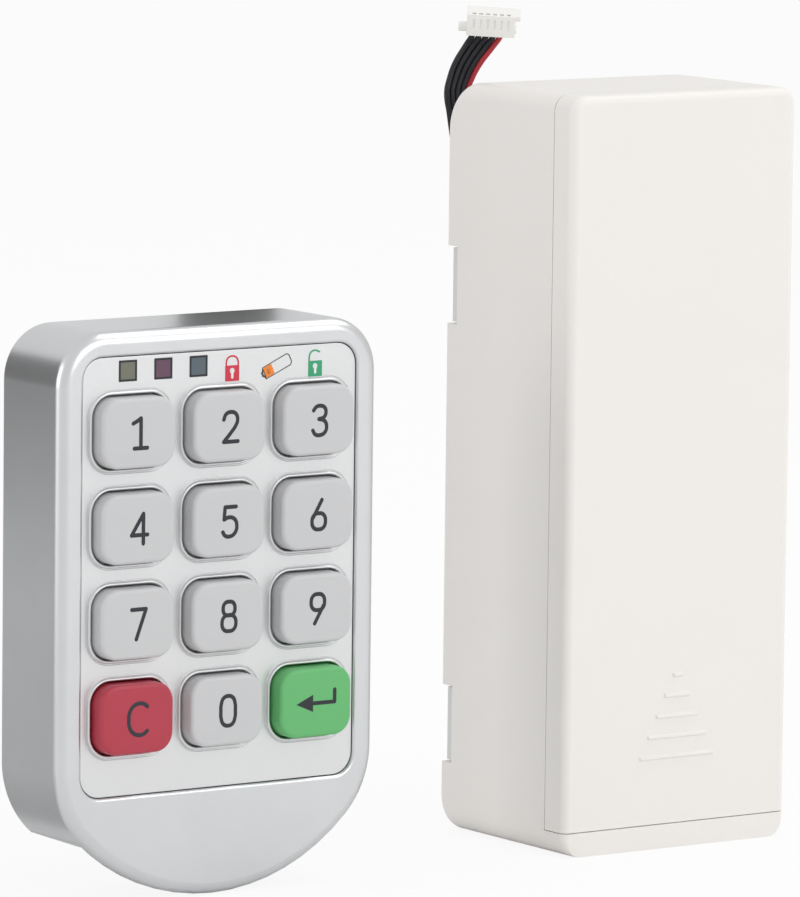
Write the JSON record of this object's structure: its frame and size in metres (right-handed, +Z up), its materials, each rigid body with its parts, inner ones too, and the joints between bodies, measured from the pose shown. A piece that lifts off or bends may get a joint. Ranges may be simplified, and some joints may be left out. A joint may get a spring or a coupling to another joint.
{
  "type": "electronic cabinet lock",
  "caption": "Two-part electronic cabinet lock: metal keypad for the front of a door, and a white battery box with a motor-driven bolt and a short plug-in lead for its inside.",
  "frame": {"origin": "on the floor, midway between the outer sides of the two units and midway through their depth", "axes": "+X from the keypad to the battery box, +Y from the fronts to the backs that go against the door, +Z up"},
  "size_m": [0.1236, 0.0364, 0.1199],
  "materials": {
    "satin_zinc": "satin metallic coating on a zinc casting",
    "face_plate": "silver coating, finely textured",
    "key_silver": "satin silver grey, dark printed digits",
    "key_red": "satin red, dark printed letter",
    "key_green": "satin green, dark printed arrow",
    "light_pipe": "smoky translucent",
    "light_body": "glossy",
    "key_mat": "matte",
    "circuit_board": "solder mask",
    "connector_plastic": "moulded",
    "black_plastic": "moulded, fine texture",
    "screw_steel": "zinc plated",
    "insert_brass": "turned",
    "pad_rubber": "matte",
    "white_plastic": "moulded, fine texture",
    "tray_plastic": "moulded",
    "cell_jacket": "plain printed jacket",
    "contact_steel": "nickel plated",
    "bolt_steel": "ground",
    "gear_brass": "cut",
    "motor_steel": "drawn",
    "plate_steel": "zinc plated sheet",
    "wire_black": "satin insulation",
    "wire_red": "satin insulation"
  },
  "bodies": {
    "lock": {"keypad_housing": "satin_zinc", "keypad_faceplate": "face_plate", "light_pipe_1": "light_pipe", "status_light_1": "light_body", "light_pipe_2": "light_pipe", "status_light_2": "light_body", "light_pipe_3": "light_pipe", "status_light_3": "light_body", "key_mat": "key_mat", "keypad_board": "circuit_board", "control_board": "circuit_board", "lead_socket": "connector_plastic", "lead_plug": "connector_plastic", "buzzer": "black_plastic", "keypad_back_cover": "black_plastic", "cover_screw_1": "screw_steel", "battery_cell_1": "cell_jacket", "cover_screw_2": "screw_steel", "battery_cell_2": "cell_jacket", "cover_screw_3": "screw_steel", "battery_cell_3": "cell_jacket", "cover_screw_4": "screw_steel", "battery_cell_4": "cell_jacket", "fixing_insert_1": "insert_brass", "tray_screw_1": "screw_steel", "fixing_insert_2": "insert_brass", "tray_screw_2": "screw_steel", "mounting_pad": "pad_rubber", "lock_case": "white_plastic", "battery_tray": "tray_plastic", "spring_contact": "contact_steel", "button_contact": "contact_steel", "bridge_contact": "contact_steel", "bolt_guide": "tray_plastic", "gearbox": "gear_brass", "motor_can": "motor_steel", "mounting_plate": "plate_steel", "cable_grommet": "pad_rubber", "lead_wire_1": "wire_black", "lead_wire_2": "wire_black", "lead_wire_3": "wire_black", "lead_wire_4": "wire_black", "lead_wire_5": "wire_red"},
    "key_1_body": {"key_1": "key_silver"},
    "key_2_body": {"key_2": "key_silver"},
    "key_3_body": {"key_3": "key_silver"},
    "key_4_body": {"key_4": "key_silver"},
    "key_5_body": {"key_5": "key_silver"},
    "key_6_body": {"key_6": "key_silver"},
    "key_7_body": {"key_7": "key_silver"},
    "key_8_body": {"key_8": "key_silver"},
    "key_9_body": {"key_9": "key_silver"},
    "key_clear_body": {"key_clear": "key_red"},
    "key_0_body": {"key_0": "key_silver"},
    "key_enter_body": {"key_enter": "key_green"},
    "cover_body": {"battery_cover": "white_plastic"},
    "bolt_body": {"deadbolt": "bolt_steel"},
    "drive_body": {"drive_gear": "gear_brass", "drive_shaft": "screw_steel"}
  },
  "joints": [
    {"name": "key_1_press", "type": "slide", "parent": "lock", "child": "key_1_body", "axis": [0, 1, 0], "range_m": [0, 0.001], "stiffness_N_per_m": 600, "springref_m": -0.001},
    {"name": "key_2_press", "type": "slide", "parent": "lock", "child": "key_2_body", "axis": [0, 1, 0], "range_m": [0, 0.001], "stiffness_N_per_m": 600, "springref_m": -0.001},
    {"name": "key_3_press", "type": "slide", "parent": "lock", "child": "key_3_body", "axis": [0, 1, 0], "range_m": [0, 0.001], "stiffness_N_per_m": 600, "springref_m": -0.001},
    {"name": "key_4_press", "type": "slide", "parent": "lock", "child": "key_4_body", "axis": [0, 1, 0], "range_m": [0, 0.001], "stiffness_N_per_m": 600, "springref_m": -0.001},
    {"name": "key_5_press", "type": "slide", "parent": "lock", "child": "key_5_body", "axis": [0, 1, 0], "range_m": [0, 0.001], "stiffness_N_per_m": 600, "springref_m": -0.001},
    {"name": "key_6_press", "type": "slide", "parent": "lock", "child": "key_6_body", "axis": [0, 1, 0], "range_m": [0, 0.001], "stiffness_N_per_m": 600, "springref_m": -0.001},
    {"name": "key_7_press", "type": "slide", "parent": "lock", "child": "key_7_body", "axis": [0, 1, 0], "range_m": [0, 0.001], "stiffness_N_per_m": 600, "springref_m": -0.001},
    {"name": "key_8_press", "type": "slide", "parent": "lock", "child": "key_8_body", "axis": [0, 1, 0], "range_m": [0, 0.001], "stiffness_N_per_m": 600, "springref_m": -0.001},
    {"name": "key_9_press", "type": "slide", "parent": "lock", "child": "key_9_body", "axis": [0, 1, 0], "range_m": [0, 0.001], "stiffness_N_per_m": 600, "springref_m": -0.001},
    {"name": "key_clear_press", "type": "slide", "parent": "lock", "child": "key_clear_body", "axis": [0, 1, 0], "range_m": [0, 0.001], "stiffness_N_per_m": 600, "springref_m": -0.001},
    {"name": "key_0_press", "type": "slide", "parent": "lock", "child": "key_0_body", "axis": [0, 1, 0], "range_m": [0, 0.001], "stiffness_N_per_m": 600, "springref_m": -0.001},
    {"name": "key_enter_press", "type": "slide", "parent": "lock", "child": "key_enter_body", "axis": [0, 1, 0], "range_m": [0, 0.001], "stiffness_N_per_m": 600, "springref_m": -0.001},
    {"name": "cover_slide", "type": "slide", "parent": "lock", "child": "cover_body", "axis": [0, 0, 1], "range_m": [0, 0.1]},
    {"name": "bolt_slide", "type": "slide", "parent": "lock", "child": "bolt_body", "axis": [1, 0, 0], "range_m": [0, 0.009]},
    {"name": "gear_turn", "type": "hinge", "parent": "lock", "child": "drive_body", "pos_m": [0.0389, 0.00615, 0.06], "axis": [0, 0, 1], "range_deg": [0, 148]}
  ],
  "couplings": [
    {"joint": "gear_turn", "follows": "bolt_slide", "rad_per_m": 285.71}
  ]
}
